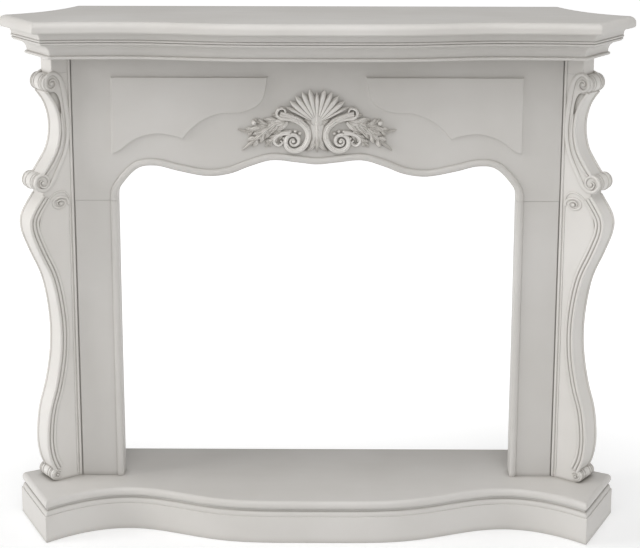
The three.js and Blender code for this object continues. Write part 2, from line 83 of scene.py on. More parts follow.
# The scalloped edge of the opening, as (half width, height), and its bead
ARCH_HALF = [
    (478, 803.3), (472, 833), (430, 880), (385, 888), (330, 875), (263, 863),
    (208, 869), (160, 887), (107, 902), (50, 897),
]
ARCH_CENTRE = 892
ARCH_STEPS = 160
OPENING_BEAD = 8.5
OPENING_BEAD_PROUD = 7
BEAD_FOOT = 0.7
BEAD_TUCK = 8
BEAD_STEPS = 14
JAMB_EASE = 0.8

# The raised fields, as (half width, height)
FIELD_OUTER = 486
FIELD_TOP = 1101
FIELD_LOWER = [(486, 920), (470, 926), (430, 955), (384, 967), (345, 963), (319, 955)]
FIELD_UPPER = [
    (319, 955), (300, 977), (269, 1001), (228, 1016), (185, 1018), (149, 1030),
    (128, 1052), (118, 1101),
]
FIELD_LOWER_STEPS = 30
FIELD_UPPER_STEPS = 50
FIELD_RAISE = 8
FIELD_COVE = 18
FIELD_COVE_SHARE = 0.6
FIELD_COVE_TURN = math.radians(86)
FIELD_COVE_STEPS = 10

# The corner consoles, as (reach from the joint, height); a roll adds its radius
CONSOLE_TURN = math.radians(53)
CONSOLE_WIDTH = 53
UPPER_ROLL = (52, 1090, 22)
LOWER_ROLL = (83, 855, 21)
FLANK_CURL = (38, 800, 14)
FOOT_ROLL = (70, 119.5, 15.5)
# How far a roll runs past the flank that is turned from the opening
ROLL_OVERHANG = 14
ROLL_SIDES = 44
EYE_SIDES = 20
# Grooves cut round a roll, counted in from its end
COLLARS = (7, 13, 22)
COLLAR_HALF = 2.1
COLLAR_DEPTH = 3.6
CAP_REACH = 50
CAP_BOTTOM = 1112
CAP_EASE = 1.2
WAIST = 826
REED = 4.4
REED_PITCH = 8.6
REED_PROUD = 3
REED_SIDES = 12
BODY_REEDS = 3
FLANK_BEAD = 3
FLANK_BEAD_PROUD = 2
JOINT_BEAD = 4.5
EYE = 4
VOLUTE_STEPS = 48
NECK_LINE = [(86, 874), (65, 902), (47, 931), (38, 965), (38, 1003), (49, 1040), (68, 1068)]
BODY_LINE = [
    (77, 130), (90, 165), (95, 215), (87, 285), (66, 355), (52, 435), (52, 520),
    (68, 612), (98, 683), (118, 738), (116, 778), (84, 826),
]
# The broad band of the flank, as (reach, height, half width), from the upper eye to the lower one
FLANK_SCROLL = [
    (51, 1086, 2.4), (56, 1089, 2.6), (54, 1096, 2.8), (46, 1098, 3), (40, 1090, 3.2),
    (43, 1080, 3.4), (54, 1075, 3.7), (64, 1083, 4), (65, 1096, 4.2), (59, 1108, 4.5),
    (48, 1113, 5), (37, 1109, 5.6), (27, 1097, 6.3), (21, 1077, 7), (17, 1052, 7),
    (13.5, 1020, 6.4), (11.5, 990, 6), (12, 964, 5.6), (15.5, 942, 5.5), (21.5, 921, 5.6),
    (30.5, 901, 6), (40, 883, 6.2), (50, 864, 6.2), (61, 847, 6), (75, 837.5, 5.5),
    (91, 839, 5), (101, 852, 4.5), (96, 868, 4.2), (83, 874, 4), (70, 867, 3.7),
    (67, 853, 3.4), (76, 844, 3.1), (87, 847, 2.9), (90, 857, 2.6), (84, 861, 2.4),
]
# The reed between that band and the front edge, drawn the same way
MIDDLE_REED = [
    (29, 1018, 1.2), (27.5, 1006, 3), (25.5, 988, 4.2), (25, 964, 4.4), (28, 945, 4.4),
    (34, 927, 4.4), (43.5, 909, 4.4), (53, 894, 4.4), (63, 881, 4), (72, 873, 3),
]
FLANK_ARCH = [
    (93, 742), (91, 762), (86, 780), (77, 801), (66, 815), (50, 826), (33, 829), (20, 822),
    (13.5, 807), (12.5, 780), (12.5, 700), (12.5, 600), (12.5, 500), (12.5, 400), (12.5, 300),
    (12.5, 200), (12.5, 112),
]
EYE_HOLLOW = [
    (68, 1070), (54, 1069), (41, 1067), (32, 1052), (28, 1034), (28, 1014), (36, 1028), (48, 1046),
]
EYE_HOLLOW_DEPTH = 6
EYE_HOLLOW_CLEAR = 9

# The side returns' end at the wall, and the pull of their hollow
RETURN_WALL_HALF = 560
RETURN_PULL = (588, 62)

# The carving, drawn right of and above the shell's heart
HEART_HEIGHT = 985
SHELL_FOOT = (0, 6)
SHELL_RIBS = 11
SHELL_HALF_SPREAD = math.radians(62)
SHELL_INNER = 12
SHELL_OUTER = 68
SHELL_BACK = SHELL_OUTER - 8
SHELL_LEVELS = [0.0, 0.1, 0.22, 0.36, 0.5, 0.62, 0.74, 0.84, 0.92, 0.97, 1.0]
SHELL_SWELL = 8
RIB_ROUND = 7.5
RIB_TIP = 17
MIDDLE_RIB_SHARE = 0.9
RIB_STEPS = 12
SCROLL_EYE = (-56, -36)
SCROLL_SWEEP = [(-88, 28), (-66, 22), (-42, 12), (-25, -4), (-20, -24), (-28, -45)]
SCROLL_TURNS = 1.75
SCROLL_MARKS = 18
SCROLL_END = 5
LOWER_CURL = [(-64, -16), (-82, -18), (-98, -26), (-102, -38), (-92, -46), (-82, -40), (-87, -34)]
UPPER_CURL = [
    (-44, 12), (-64, 17), (-84, 19), (-95, 28), (-91, 40), (-79, 42), (-75, 33), (-82, 30),
]
LONG_LEAF = [(-70, 12), (-98, 6), (-124, -12), (-146, -32), (-178, -58)]
OUTER_LEAF = [(-100, 4), (-124, -1), (-146, -6), (-166, -13), (-188, -8)]
UPPER_LEAF = [(-112, 0), (-128, 6), (-140, 10), (-150, 18)]
INNER_LEAF = [(-84, -14), (-98, -26), (-112, -38), (-124, -51)]
STEM = [(0, 28), (0, 8), (0, -12), (0, -30), (0, -46)]
FOOT_LEAF = [(0, -22), (0, -36), (0, -48), (0, -62)]
SIDE_FOOT_LEAF = [(4, -24), (8, -40), (15, -52), (27, -60)]
HEART_LEAF = [(8, 2), (18, 10), (26, 16), (30, 10)]
# Small buds along the scroll's back: their turns round its eye, distance, size and rise
SCROLL_BUDS = (52, 80, 108, 136, 164)
SCROLL_BUDS_AWAY = 24
SCROLL_BUD = 4.2
SCROLL_BUD_RISE = 10
BUD_SIDES = 18
BUD_LEVELS = (0, 0.35, 0.65, 0.85, 0.96, 1.0)
BLADE_STEPS = 48
ACROSS_BLADE = [i / 6 - 1 for i in range(13)]
ACROSS_BAND = [i / 9 - 1 for i in range(19)]

# Paint: its darker and lighter tone, and the painted shade that darkens it in hollows
PAINT_SHADE = (0.51, 0.492, 0.465)
PAINT_TINT = (0.56, 0.543, 0.52)
PAINTED_HOLLOW_SHADE = (0.34, 0.322, 0.295)
GLOSS = (0.36, 0.56)
STROKE_STRENGTH = 0.12

# Studio lights: name, place, aim, size and power
LIGHTS = [
    ("key", (-5.0, -1.0, 2.0), (0, 0, 0.7), 2.0, 146),
    ("fill", (5.0, -1.2, 2.0), (0, 0, 0.7), 2.5, 46),
    ("overhead", (0, -1.8, 4.5), (0, 0, 0), 3.5, 96),
    ("front", (0.3, -4.8, 2.9), (0, 0, 0.9), 2.5, 58),
]
AIR_LIGHT = 0.35
FLOOR_GREY = 0.64
# The floor's own light rises between these places, from the front to the back
FLOOR_GLOW_FROM = -0.5
FLOOR_GLOW_TO = 1.4
FLOOR_GLOW = (0.2, 0.8)

# Edges flatter than this many degrees are shaded smooth
SMOOTH = 32
CARVED_SMOOTH = 40


# Modelling by hand

def clear_selection():
    bpy.ops.object.select_all(action="DESELECT")


def spot(x, depth, height):
    return Vector((x, WALL - depth, height)) * MILLIMETRE


def loft(name, rings):
    """A closed form drawn up from a disc ring by ring, each ring then set to its own outline."""
    count = len(rings[0])
    clear_selection()
    bpy.ops.mesh.primitive_circle_add(vertices=count, fill_type="NGON", enter_editmode=True)
    for _ in rings[1:]:
        bpy.ops.mesh.extrude_region_move(TRANSFORM_OT_translate={"value": (0, 0, 1)})
    bpy.ops.object.mode_set(mode="OBJECT")
    piece = bpy.context.object
    piece.name = name
    for vertex in piece.data.vertices:
        turn = math.atan2(-vertex.co.x, vertex.co.y) / math.tau
        vertex.co = rings[round(vertex.co.z)][round(turn * count) % count]
    return piece


def joined(name, pieces):
    clear_selection()
    for piece in pieces:
        piece.select_set(True)
    bpy.context.view_layer.objects.active = pieces[0]
    bpy.ops.object.join()
    pieces[0].name = name
    pieces[0].data.name = name
    return pieces[0]


def faced_outwards(piece):
    clear_selection()
    piece.select_set(True)
    bpy.context.view_layer.objects.active = piece
    bpy.ops.object.mode_set(mode="EDIT")
    bpy.ops.mesh.select_all(action="SELECT")
    bpy.ops.mesh.normals_make_consistent(inside=False)
    bpy.ops.object.mode_set(mode="OBJECT")


def mirrored(piece, name):
    clear_selection()
    piece.select_set(True)
    bpy.context.view_layer.objects.active = piece
    bpy.ops.object.duplicate()
    copy = bpy.context.object
    copy.name = name
    copy.data.name = name
    copy.scale.x = -1
    bpy.ops.object.transform_apply(location=False, rotation=False, scale=True)
    return copy


def dress(piece, finish):
    piece.data.materials.clear()
    piece.data.materials.append(finish)


def finished(piece, node, finish, angle=SMOOTH):
    """Shades and paints a piece and puts it in the place of its node."""
    faced_outwards(piece)
    bpy.ops.object.shade_smooth_by_angle(angle=math.radians(angle))
    dress(piece, finish)
    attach(piece, "root")
    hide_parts(node)


# Lines

def curve_through(points, steps):
    """A smooth line through the points, evenly stepped from point to point."""
    spots = [Vector(point) for point in points]
    line = []
    for step in range(steps + 1):
        place = step / steps * (len(spots) - 1)
        leg = min(int(place), len(spots) - 2)
        t = place - leg
        start, end = spots[leg], spots[leg + 1]
        leave = (end - spots[max(leg - 1, 0)]) / 2
        arrive = (spots[min(leg + 2, len(spots) - 1)] - start) / 2
        line.append(
            (2 * start - 2 * end + leave + arrive) * t ** 3
            + (3 * end - 3 * start - 2 * leave - arrive) * t ** 2
            + leave * t + start
        )
    return line


def pulled_curve(start, pull, end, steps):
    """A curve from start to end that leans towards the pull between them."""
    line = []
    for step in range(steps + 1):
        t = step / steps
        line.append(start.lerp(pull, t).lerp(pull.lerp(end, t), t))
    return line


def headings(line):
    ahead = []
    for i in range(len(line)):
        step = line[min(i + 1, len(line) - 1)] - line[max(i - 1, 0)]
        ahead.append(step.normalized())
    return ahead


def left_of(along):
    return Vector((-along.y, along.x))


def parallel(line, distance):
    """The line moved to its left by an even distance."""
    return [point + left_of(along) * distance for point, along in zip(line, headings(line))]


def drawn_in(outline, distance):
    """A closed outline, counted anticlockwise, drawn in by an even distance."""
    inner = []
    for i, point in enumerate(outline):
        before = (point - outline[i - 1]).normalized()
        after = (outline[(i + 1) % len(outline)] - point).normalized()
        inwards = Vector((-before.y - after.y, before.x + after.x))
        inner.append(point + inwards * (distance / (1 + before.dot(after))))
    return inner


def eased(points, corner, radius):
    """An open outline with one of its corners rounded over."""
    tip = points[corner]
    before = tip + (points[corner - 1] - tip).normalized() * radius
    after = tip + (points[corner + 1] - tip).normalized() * radius
    curve = pulled_curve(before, tip, after, EASING_STEPS)
    return points[:corner] + curve + points[corner + 1:]


def between(start, end, share):
    return start + (end - start) * share


# Stretches of a profile, where a level is (height, distance outwards)

def quarter_turns(steps):
    return [math.pi / 2 * i / steps for i in range(steps + 1)]


def cove(low, high, steps):
    return [
        (between(low[0], high[0], math.sin(turn)), between(low[1], high[1], 1 - math.cos(turn)))
        for turn in quarter_turns(steps)
    ]


def ovolo(low, high, steps):
    return [
        (between(low[0], high[0], math.sin(turn)), between(high[1], low[1], math.cos(turn)))
        for turn in quarter_turns(steps)
    ]


def half_round(bottom, top, set_back, proud, steps):
    middle = (bottom + top) / 2
    turns = [math.pi * i / steps for i in range(steps + 1)]
    return [
        (middle - (top - bottom) / 2 * math.cos(turn), set_back + proud * math.sin(turn))
        for turn in turns
    ]


# Shelf and base

def front_depth(plan, x):
    if x > plan["dip_x"]:
        along = (x - plan["dip_x"]) / (plan["corner_x"] - plan["dip_x"])
        return between(plan["dip_depth"], plan["corner_depth"], along ** 2)
    sink = ((1 - math.cos(math.pi * x / plan["dip_x"])) / 2) ** MIDDLE_FULLNESS
    return between(plan["centre_depth"], plan["dip_depth"], sink)


def plan_marks(plan):
    """The wall, the pull of the hollow side, and the outer and front ends of the cant."""
    front = Vector((plan["corner_x"], plan["corner_depth"]))
    cant = Vector((math.cos(plan["cant_turn"]), -math.sin(plan["cant_turn"])))
    outer = front + cant * plan["cant"]
    wall = Vector((plan["back_half"], 0))
    pull = Vector((between(wall.x, outer.x, SIDE_PULL[0]), outer.y * SIDE_PULL[1]))
    return wall, pull, outer, front


def half_plan(plan):
    """From the wall along the hollow side, over the cant and along the front to the middle."""
    wall, pull, outer, _ = plan_marks(plan)
    side = pulled_curve(wall, pull, outer, SIDE_STEPS)
    across = [
        between(plan["corner_x"], plan["dip_x"], i / CORNER_STEPS) for i in range(CORNER_STEPS)
    ]
    across += [plan["dip_x"] * (1 - i / MIDDLE_STEPS) for i in range(MIDDLE_STEPS + 1)]
    return side + [Vector((x, front_depth(plan, x))) for x in across]


def moved_corner(corner, normal_a, out_a, normal_b, out_b):
    """Where two edges meet once each has moved outwards along its normal."""
    spread = normal_a.x * normal_b.y - normal_a.y * normal_b.x
    return corner + Vector((
        (out_a * normal_b.y - out_b * normal_a.y) / spread,
        (out_b * normal_a.x - out_a * normal_b.x) / spread,
    ))


def moved_plan(plan, out):
    """The plan with its front and cants moved outwards evenly, and its sides by their share."""
    _, pull, outer, front = plan_marks(plan)
    side = (outer - pull).normalized()
    side_normal = Vector((side.y, -side.x))
    cant_normal = Vector((math.sin(plan["cant_turn"]), math.cos(plan["cant_turn"])))
    corner_run = plan["corner_x"] - plan["dip_x"]
    slope = 2 * (plan["corner_depth"] - plan["dip_depth"]) / corner_run
    front_normal = Vector((-slope, 1)).normalized()
    moved_front = moved_corner(front, front_normal, out, cant_normal, out)
    moved_outer = moved_corner(outer, cant_normal, out, side_normal, out * SIDE_SHARE)
    return {
        **plan,
        "back_half": plan["back_half"] + out * SIDE_SHARE,
        "corner_x": moved_front.x,
        "corner_depth": moved_front.y,
        "cant": (moved_front - moved_outer).length,
        "dip_depth": plan["dip_depth"] + out,
        "centre_depth": plan["centre_depth"] + out,
    }


def moulded_slab(name, plan, profile):
    """The plan at each level of a profile, with its corners eased."""
    rings = []
    for height, out in profile:
        right = half_plan(moved_plan(plan, out))
        for corner in (SIDE_STEPS + 1, SIDE_STEPS):
            right = eased(right, corner, EASING)
        left = [Vector((-point.x, point.y)) for point in right[:-1]]
        rings.append([spot(point.x, point.y, height) for point in left + right[::-1]])
    return loft(name, rings)


def mantel_shelf():
    """From below: an astragal, a large cove, a double bead, a small cove and the rounded slab."""
    astragal = half_round(SHELF_BOTTOM, 1168, -41, 4.5, 10)
    large_cove = cove((1169.4, -41.4), (1194, -16), 14)
    lower_bead = half_round(1196, 1201.8, -13.4, 3, 8)
    upper_bead = half_round(1202.2, 1208, -11.6, 3, 8)
    small_cove = cove((1209.8, -10), (1224, 2.5), 10)
    slab_foot = ovolo((1225.4, 13.4), (1228, NOSING), 3)
    slab_edge = ovolo((SHELF_TOP - NOSING, NOSING), (SHELF_TOP, 0), 14)
    return moulded_slab("shelf_slab", SHELF_PLAN, [
        (SHELF_BOTTOM, -48), *astragal,
        (1168.3, -41.6), *large_cove,
        (1194.3, -14.2), (1195.8, -14.2), *lower_bead, *upper_bead,
        (1208.3, -10.2), (1209.6, -10.2), *small_cove,
        (1224.4, 3.4), (1225, 12.6), *slab_foot, *slab_edge,
        (SHELF_TOP, -1.5), (SHELF_TOP, -12),
    ])


def hearth_base():
    """From the floor: the plinth, a ledge with a cove, a recess and the rounded slab."""
    plinth = [(0, -8), (0, -1.2), (1.2, 0), (64.4, 0), (65.4, -0.6)]
    ledge_cove = cove((66, -3.4), (77.4, -9.6), 6)[1:]
    recess = [(78, -9.8), (83.4, -9.8), (84.2, -9), (84.6, -5.6)]
    slab_foot = ovolo((85.2, -4.4), (89, -2.6), 4)
    slab_edge = ovolo((93, -2.6), (BASE_TOP, -12), 10)
    return moulded_slab("base_slab", BASE_PLAN, [
        *plinth, (65.8, -3), *ledge_cove, *recess, *slab_foot, *slab_edge,
        (BASE_TOP, -13.5), (BASE_TOP, -20),
    ])


# Frieze and jambs

def on_front(x, height, out):
    return spot(x, FRONT_DEPTH + out, height)


def arch_edge():
    left = [(-x, height) for x, height in ARCH_HALF]
    return curve_through(left + [(0, ARCH_CENTRE)] + ARCH_HALF[::-1], ARCH_STEPS)


def bead_section():
    """Across from the opening's edge onto the board, and out from its face."""
    section = [(2 * OPENING_BEAD + 0.2, -LET_IN)]
    for i in range(BEAD_STEPS + 1):
        turn = math.radians(-BEAD_TUCK) + math.radians(180 + 2 * BEAD_TUCK) * i / BEAD_STEPS
        across = OPENING_BEAD * (1 + math.cos(turn))
        section.append((across, between(BEAD_FOOT, OPENING_BEAD_PROUD, math.sin(turn))))
    return section + [(0, -LET_IN)]


def opening_bead(name, path):
    ahead = headings(path)
    ahead[0] = Vector((0, math.copysign(1, ahead[0].y)))
    ahead[-1] = Vector((0, math.copysign(1, ahead[-1].y)))
    rings = []
    for point, along in zip(path, ahead):
        rings.append([
            on_front(point.x - along.y * across, point.y + along.x * across, out)
            for across, out in bead_section()
        ])
    return loft(name, rings)


def field_outline(side):
    lower = curve_through(FIELD_LOWER, FIELD_LOWER_STEPS)
    upper = curve_through(FIELD_UPPER, FIELD_UPPER_STEPS)
    corners = [Vector((FIELD_OUTER, FIELD_TOP))] + lower + upper[1:]
    outline = [Vector((side * point.x, point.y)) for point in corners]
    return outline if side < 0 else outline[::-1]


def raised_field(name, side):
    """A field that a cove and a small step raise from the board to an eased arris."""
    outline = field_outline(side)
    levels = [(-LET_IN, -FIELD_COVE)]
    for i in range(FIELD_COVE_STEPS + 1):
        turn = FIELD_COVE_TURN * i / FIELD_COVE_STEPS
        out = FIELD_RAISE * FIELD_COVE_SHARE * (1 - math.cos(turn))
        levels.append((out, FIELD_COVE * (math.sin(turn) - 1) - 0.3))
    levels += [(FIELD_RAISE * (FIELD_COVE_SHARE + 0.02), -0.1), (FIELD_RAISE - 0.5, 0)]
    levels += [(FIELD_RAISE - 0.15, 0.2), (FIELD_RAISE, 0.9), (FIELD_RAISE, 2.2)]
    rings = []
    for out, inset in levels:
        rings.append([on_front(point.x, point.y, out) for point in drawn_in(outline, inset)])
    return loft(name, rings)


def frieze():
    half = JOINT_HALF - GAP
    top = SHELF_BOTTOM - GAP
    bottom = JAMB_TOP + GAP
    edge = arch_edge()
    outline = [
        Vector((-half, top)), Vector((-half, bottom)), *edge,
        Vector((half, bottom)), Vector((half, top)),
    ]
    board = loft("frieze_board", [
        [on_front(point.x, point.y, out) for point in outline] for out in (-BOARD, 0)
    ])
    bead = opening_bead("arch_bead", edge)
    fields = [raised_field("field", side) for side in (-1, 1)]
    return joined("frieze_board", [board, bead, *fields])


def jamb():
    low = BASE_TOP + GAP
    high = JAMB_TOP - GAP
    joint = JOINT_HALF - GAP
    under_bead = OPENING_HALF + OPENING_BEAD
    outline = [
        (OPENING_HALF, -BOARD), (joint, -BOARD), (joint, -JAMB_EASE), (joint - JAMB_EASE, 0),
        (under_bead, 0), (under_bead, -LET_IN), (OPENING_HALF, -LET_IN),
    ]
    board = loft("jamb_board", [
        [on_front(x, height, out) for x, out in outline] for height in (low, high)
    ])
    bead = opening_bead("jamb_bead", [Vector((OPENING_HALF, high)), Vector((OPENING_HALF, low))])
    return joined("jamb_board_right", [board, bead])


# Corner consoles, drawn as reach from the joint, height and place across

def on_console(reach, height, across):
    forward = Vector((math.sin(CONSOLE_TURN), -math.cos(CONSOLE_TURN)))
    flank = Vector((-math.cos(CONSOLE_TURN), -math.sin(CONSOLE_TURN)))
    plan = Vector((JOINT_HALF + GAP, WALL - FRONT_DEPTH)) + forward * reach
    plan += flank * (across - CONSOLE_WIDTH - REED_PROUD)
    return Vector((plan.x, plan.y, height)) * MILLIMETRE


def across_console(name, outline, near, far):
    """A board of the given outline, from one place across the console to another."""
    return loft(name, [
        [on_console(point.x, point.y, across) for point in outline] for across in (near, far)
    ])


def reed(name, line, girths, across):
    """A rounded rod along a line on the console, with its own half width at each point."""
    rings = []
    for point, along, girth in zip(line, headings(line), girths):
        ring = []
        for side in range(REED_SIDES):
            turn = math.tau * side / REED_SIDES
            away = point + left_of(along) * girth * math.cos(turn)
            ring.append(on_console(away.x, away.y, across + REED * math.sin(turn)))
        rings.append(ring)
    return loft(name, rings)


def on_both_flanks(name, line, girths, proud=REED_PROUD):
    """The same reed on the near and the far flank, standing proud of the surface."""
    sunk = REED - proud
    return [
        reed(name, line, girths, CONSOLE_WIDTH - sunk),
        reed(name, line, girths, sunk),
    ]


def even_reed(name, line):
    return on_both_flanks(name, line, [REED] * len(line))


def shaped_reed(name, points, steps, proud=REED_PROUD):
    """A reed through points of (reach, height, half width)."""
    line = curve_through(points, steps)
    girths = [point.z for point in line]
    return on_both_flanks(name, [point.xy for point in line], girths, proud)


def turned_roll(name, roll, profile, sides=ROLL_SIDES):
    """A roll across the console from a profile of (place across, radius)."""
    reach, height, _ = roll
    rings = []
    for across, radius in profile:
        ring = []
        for side in range(sides):
            turn = math.tau * side / sides
            x = reach + radius * math.cos(turn)
            ring.append(on_console(x, height + radius * math.sin(turn), across))
        rings.append(ring)
    return loft(name, rings)


def lined_roll(name, roll):
    """A roll with three collars cut round it towards each end."""
    radius = roll[2]
    end = CONSOLE_WIDTH + 0.5
    near = [(end, radius * 0.6), (end, radius - 2), (end - 0.8, radius - 0.7), (end - 2, radius)]
    for collar in COLLARS:
        middle = end - collar
        near.append((middle + COLLAR_HALF, radius))
        near.append((middle, radius - COLLAR_DEPTH))
        near.append((middle - COLLAR_HALF, radius))
    far = [(CONSOLE_WIDTH - across - ROLL_OVERHANG, girth) for across, girth in reversed(near)]
    return turned_roll(name, roll, near + far)


def eye_button(centre, radius):
    """A rounded button in the eye of a scroll, on each flank."""
    button = [
        (REED_PROUD + 2.4, radius * 0.35), (REED_PROUD + 1.9, radius * 0.8),
        (REED_PROUD, radius), (-2, radius),
    ]
    near = [(CONSOLE_WIDTH + out, girth) for out, girth in button]
    far = [(-out, girth) for out, girth in button]
    return [turned_roll("eye", centre, near, EYE_SIDES), turned_roll("eye", centre, far, EYE_SIDES)]


def small_volute(roll, turns, start, radii, girths, width=1):
    """A spiral on each flank, wound forwards into its eye."""
    reach, height, _ = roll
    points = []
    for i in range(VOLUTE_STEPS + 1):
        t = i / VOLUTE_STEPS
        turn = start - math.tau * turns * t
        away = between(*radii, t)
        x = reach + width * away * math.cos(turn)
        points.append((x, height + away * math.sin(turn), between(*girths, t)))
    spiral = shaped_reed("spiral", points, VOLUTE_STEPS, REED_PROUD - 0.5)
    return spiral + eye_button(roll, girths[1] * 1.4)


def console_core():
    low = BASE_TOP + GAP
    body = parallel(curve_through(BODY_LINE, 66), REED_PROUD)
    neck = parallel(curve_through(NECK_LINE, 36), REED_PROUD)
    outline = [
        Vector((0, low)), Vector((FOOT_ROLL[0], low)), *body,
        Vector((LOWER_ROLL[0] - 2, WAIST + 4)), *neck,
        Vector(UPPER_ROLL[:2]), Vector((CAP_REACH - 3, CAP_BOTTOM + LET_IN)),
        Vector((0, CAP_BOTTOM + LET_IN)),
    ]
    return across_console("console_core", outline, 0, CONSOLE_WIDTH)


def eye_hollow(core):
    """Cuts the hollow between the upper eye and the front edge into each flank."""
    outline = curve_through(EYE_HOLLOW + EYE_HOLLOW[:1], 42)[:-1]
    near_cut = (CONSOLE_WIDTH - EYE_HOLLOW_DEPTH, CONSOLE_WIDTH + EYE_HOLLOW_CLEAR)
    far_cut = (-EYE_HOLLOW_CLEAR, EYE_HOLLOW_DEPTH)
    for near, far in (near_cut, far_cut):
        cutter = across_console("hollow", outline, near, far)
        faced_outwards(cutter)
        faced_outwards(core)
        cut_out = core.modifiers.new("hollow", "BOOLEAN")
        cut_out.object = cutter
        cut_out.operation = "DIFFERENCE"
        bpy.ops.object.modifier_apply(modifier="hollow")
        bpy.data.objects.remove(cutter)
    return core


def console_cap():
    """The plain block under the shelf, with its edges eased."""
    top = SHELF_BOTTOM - GAP
    levels = [(CAP_BOTTOM - 1, CAP_EASE), (CAP_BOTTOM, 0), (top - CAP_EASE, 0), (top, CAP_EASE)]
    rings = []
    for height, inset in levels:
        corners = [
            (0, inset), (CAP_REACH - CAP_EASE, inset), (CAP_REACH - inset, CAP_EASE),
            (CAP_REACH - inset, CONSOLE_WIDTH - CAP_EASE),
            (CAP_REACH - CAP_EASE, CONSOLE_WIDTH - inset), (0, CONSOLE_WIDTH - inset),
        ]
        rings.append([on_console(reach, height, across) for reach, across in corners])
    return loft("console_cap", rings)


def corner_console():
    neck = curve_through(NECK_LINE, 40)
    body = curve_through(BODY_LINE, 72)
    pieces = [eye_hollow(console_core()), console_cap()]
    pieces += even_reed("edge_reed", parallel(neck, REED))
    pieces += shaped_reed("middle_reed", MIDDLE_REED, 40)
    pieces += shaped_reed("scroll_band", FLANK_SCROLL, 170, REED_PROUD + 1)
    for place in range(BODY_REEDS):
        pieces += even_reed("body_reed", parallel(body, REED + place * REED_PITCH))
    joint = [Vector((JOINT_BEAD, BASE_TOP + GAP)), Vector((JOINT_BEAD, SHELF_BOTTOM - GAP))]
    pieces += even_reed("joint_bead", joint)
    arch = curve_through(FLANK_ARCH, 96)
    pieces += on_both_flanks("flank_bead", arch, [FLANK_BEAD] * len(arch), FLANK_BEAD_PROUD)
    for roll in (UPPER_ROLL, LOWER_ROLL, FOOT_ROLL):
        pieces.append(lined_roll("roll", roll))
    pieces += eye_button(UPPER_ROLL, EYE) + eye_button(LOWER_ROLL, EYE)
    pieces += small_volute(FLANK_CURL, 1.6, math.radians(200), (17, 5.5), (4.2, 3), 1.4)
    pieces += small_volute(FOOT_ROLL, 1.2, math.radians(150), (12, 5), (3.0, 2.2))
    return joined("scroll_console_right", pieces)


def side_return():
    """A plain hollow return from the back of the console to the wall."""
    forward = Vector((math.sin(CONSOLE_TURN), math.cos(CONSOLE_TURN)))
    outwards = Vector((forward.y, -forward.x))
    joint = Vector((JOINT_HALF + GAP, FRONT_DEPTH)) - forward * 2 * GAP
    near = joint + outwards * 2 * REED_PROUD
    far = joint + outwards * (CONSOLE_WIDTH + REED_PROUD)
    wall = Vector((RETURN_WALL_HALF, 0))
    plan = [
        Vector((RETURN_WALL_HALF - BOARD, 0)),
        Vector((JOINT_HALF + GAP, FRONT_DEPTH - BOARD - GAP)),
        Vector((JOINT_HALF + GAP, near.y)),
        near,
        *pulled_curve(far, Vector(RETURN_PULL), wall, SIDE_STEPS),
    ]
    heights = (BASE_TOP + GAP, SHELF_BOTTOM - GAP)
    return loft("return_board_right", [
        [spot(point.x, point.y, height) for point in plan] for height in heights
    ])


# The shell, its scrolls and its leaves

def on_frieze(x, y, out):
    return on_front(x, HEART_HEIGHT + y, out)


def on_shell(reach, turn, out):
    x = SHELL_FOOT[0] + reach * math.sin(turn)
    return on_frieze(x, SHELL_FOOT[1] + reach * math.cos(turn), out)


def fluted_shell():
    """A fan of rounded ribs with sharp grooves between them, each rib running out to a point."""
    steps = (SHELL_RIBS - 1) * RIB_STEPS
    rings = []
    for level in SHELL_LEVELS:
        swell = SHELL_SWELL * math.sin(math.pi * (0.14 + 0.74 * level))
        tip = 1 - 0.5 * max(level - 0.84, 0) / 0.16
        ring = []
        for i in range(steps + 1):
            turn = SHELL_HALF_SPREAD * (2 * i / steps - 1)
            rib = round(i / RIB_STEPS)
            off_rib = 2 * abs(i / RIB_STEPS - rib)
            share = MIDDLE_RIB_SHARE if rib == SHELL_RIBS // 2 else 1
            rim = (SHELL_OUTER + RIB_TIP * (1 - off_rib) ** 0.9) * share
            rounding = math.sqrt(1 - (0.97 * off_rib) ** 2) * (0.3 + 0.7 * level)
            out = (2 + swell + RIB_ROUND * rounding) * tip
            ring.append(on_shell(between(SHELL_INNER, rim, level), turn, out))
        back = between(SHELL_INNER, SHELL_BACK, level)
        for turn in (SHELL_HALF_SPREAD, 0, -SHELL_HALF_SPREAD):
            ring.append(on_shell(back, turn, -LET_IN))
        rings.append(ring)
    return loft("shell", rings)


def blade(name, points, width, rise, tip=0.05, root=0.5, steps=BLADE_STEPS, sweep=0):
    """A carved leaf along a line: a raised midrib and hollow halves that narrow to the tip."""
    line = curve_through(points, steps)
    rings = []
    for i, (point, along) in enumerate(zip(line, headings(line))):
        t = i / steps
        fullness = math.sin(math.pi * min(t / 0.8, 1) ** 0.8)
        half = width / 2 * (between(root, 1, fullness) * (1 - t ** 3) + tip)
        lift = rise * (0.55 + 0.45 * math.sin(math.pi * (0.15 + 0.75 * t)))
        ring = []
        for v in ACROSS_BLADE:
            away = point + left_of(along) * (v * half) + along * (sweep * half * abs(v))
            rib = math.exp(-(v / 0.16) ** 2)
            bowl = 0.62 + 0.3 * rib - 0.26 * math.cos(math.pi * v) ** 2 * (1 - rib)
            edge = 1 - 0.45 * abs(v) ** 6
            ring.append(on_frieze(away.x, away.y, lift * bowl * edge + 1.2))
        for v in (0.9, -0.9):
            away = point + left_of(along) * (v * half)
            ring.append(on_frieze(away.x, away.y, -LET_IN))
        rings.append(ring)
    return loft(name, rings)


